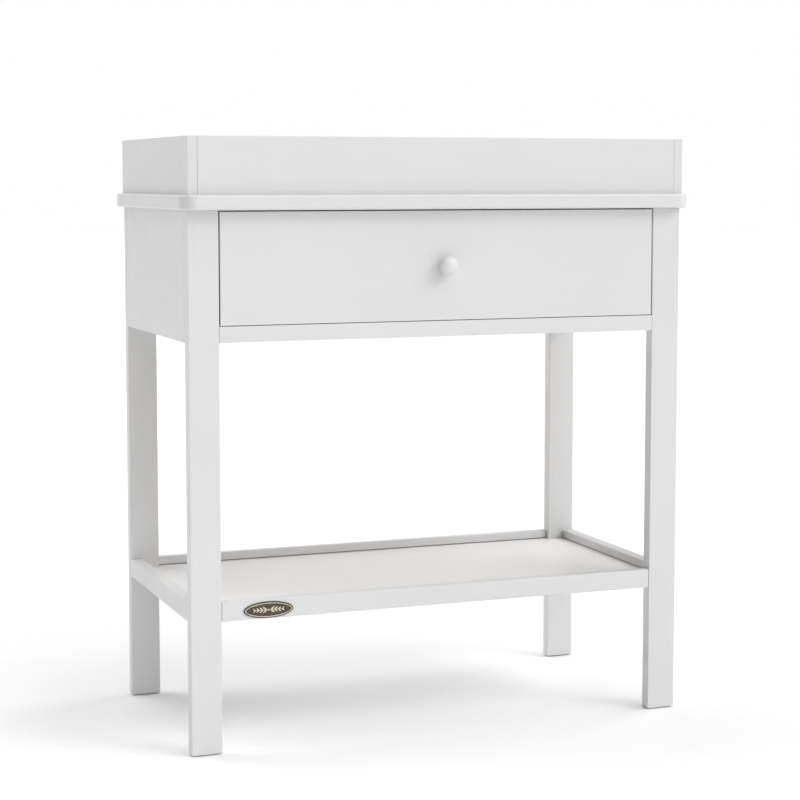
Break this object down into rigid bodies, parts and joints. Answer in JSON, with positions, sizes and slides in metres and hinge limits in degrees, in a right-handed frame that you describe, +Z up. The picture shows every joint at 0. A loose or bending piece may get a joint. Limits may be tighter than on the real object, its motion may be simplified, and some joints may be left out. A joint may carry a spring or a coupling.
{
  "type": "changing table",
  "caption": "Painted changing table on flat legs: a raised tray for a pad on top, one wide drawer with a round knob on roller runners, and a low tray shelf.",
  "frame": {"origin": "on the floor, in the middle of the whole object's footprint, knob included", "axes": "+Z up; -Y is the front, the way the drawer opens; +X is to the right of someone who looks along +Y at the drawer"},
  "size_m": [0.88, 0.4724, 0.975],
  "materials": {
    "wood_paint": "satin white paint on solid wood and board",
    "white_laminate": "matt white laminate",
    "coated_steel": "white epoxy coat on folded sheet",
    "zinc_steel": "bright zinc plate",
    "roller_nylon": "moulded nylon",
    "glide_plastic": "matt",
    "antique_brass": "darkened field, rubbed rim"
  },
  "bodies": {
    "table_frame": {"leg_front_left": "wood_paint", "leg_front_right": "wood_paint", "leg_rear_left": "wood_paint", "leg_rear_right": "wood_paint", "side_panel_left": "wood_paint", "side_panel_right": "wood_paint", "back_panel": "wood_paint", "front_rail": "wood_paint", "table_top": "wood_paint", "topper_front": "wood_paint", "topper_rear": "wood_paint", "topper_left": "wood_paint", "topper_right": "wood_paint", "shelf_rail_front": "wood_paint", "shelf_rail_rear": "wood_paint", "shelf_rail_left": "wood_paint", "shelf_rail_right": "wood_paint", "shelf_board": "wood_paint", "runner_rail_left": "white_laminate", "runner_rail_right": "white_laminate", "upper_stretcher": "white_laminate", "cabinet_runner_left": "coated_steel", "cabinet_runner_right": "coated_steel", "cabinet_roller_pin_left": "zinc_steel", "cabinet_roller_pin_right": "zinc_steel", "topper_screw_front_left": "zinc_steel", "topper_screw_front_right": "zinc_steel", "topper_screw_rear_left": "zinc_steel", "topper_screw_rear_right": "zinc_steel", "foot_glide_front_left": "glide_plastic", "foot_glide_front_right": "glide_plastic", "foot_glide_rear_left": "glide_plastic", "foot_glide_rear_right": "glide_plastic", "badge_plate": "antique_brass"},
    "drawer": {"drawer_front": "wood_paint", "drawer_knob": "wood_paint", "drawer_side_left": "white_laminate", "drawer_side_right": "white_laminate", "drawer_back": "white_laminate", "drawer_bottom": "white_laminate", "knob_screw": "zinc_steel", "cam_lock_lower_left": "zinc_steel", "cam_lock_lower_right": "zinc_steel", "cam_lock_upper_left": "zinc_steel", "cam_lock_upper_right": "zinc_steel", "drawer_runner_left": "coated_steel", "drawer_runner_right": "coated_steel", "drawer_roller_pin_left": "zinc_steel", "drawer_roller_pin_right": "zinc_steel"},
    "cabinet_roller_left": {"cabinet_roller_left": "roller_nylon"},
    "cabinet_roller_right": {"cabinet_roller_right": "roller_nylon"},
    "drawer_roller_left": {"drawer_roller_left": "roller_nylon"},
    "drawer_roller_right": {"drawer_roller_right": "roller_nylon"}
  },
  "joints": [
    {"name": "drawer_slide", "type": "slide", "parent": "table_frame", "child": "drawer", "axis": [0, -1, 0], "range_m": [0, 0.27]},
    {"name": "cabinet_roller_left_turn", "type": "hinge", "parent": "table_frame", "child": "cabinet_roller_left", "pos_m": [-0.3724, -0.17575, 0.6904], "axis": [1, 0, 0], "range_deg": [0, 1950]},
    {"name": "drawer_roller_left_turn", "type": "hinge", "parent": "drawer", "child": "drawer_roller_left", "pos_m": [-0.3711, 0.15275, 0.692], "axis": [1, 0, 0], "range_deg": [0, 1610]},
    {"name": "cabinet_roller_right_turn", "type": "hinge", "parent": "table_frame", "child": "cabinet_roller_right", "pos_m": [0.3724, -0.17575, 0.6904], "axis": [1, 0, 0], "range_deg": [0, 1950]},
    {"name": "drawer_roller_right_turn", "type": "hinge", "parent": "drawer", "child": "drawer_roller_right", "pos_m": [0.3711, 0.15275, 0.692], "axis": [1, 0, 0], "range_deg": [0, 1610]}
  ],
  "couplings": [
    {"joint": "cabinet_roller_left_turn", "follows": "drawer_slide", "rad_per_m": 125},
    {"joint": "drawer_roller_left_turn", "follows": "drawer_slide", "rad_per_m": 103.09},
    {"joint": "cabinet_roller_right_turn", "follows": "drawer_slide", "rad_per_m": 125},
    {"joint": "drawer_roller_right_turn", "follows": "drawer_slide", "rad_per_m": 103.09}
  ]
}
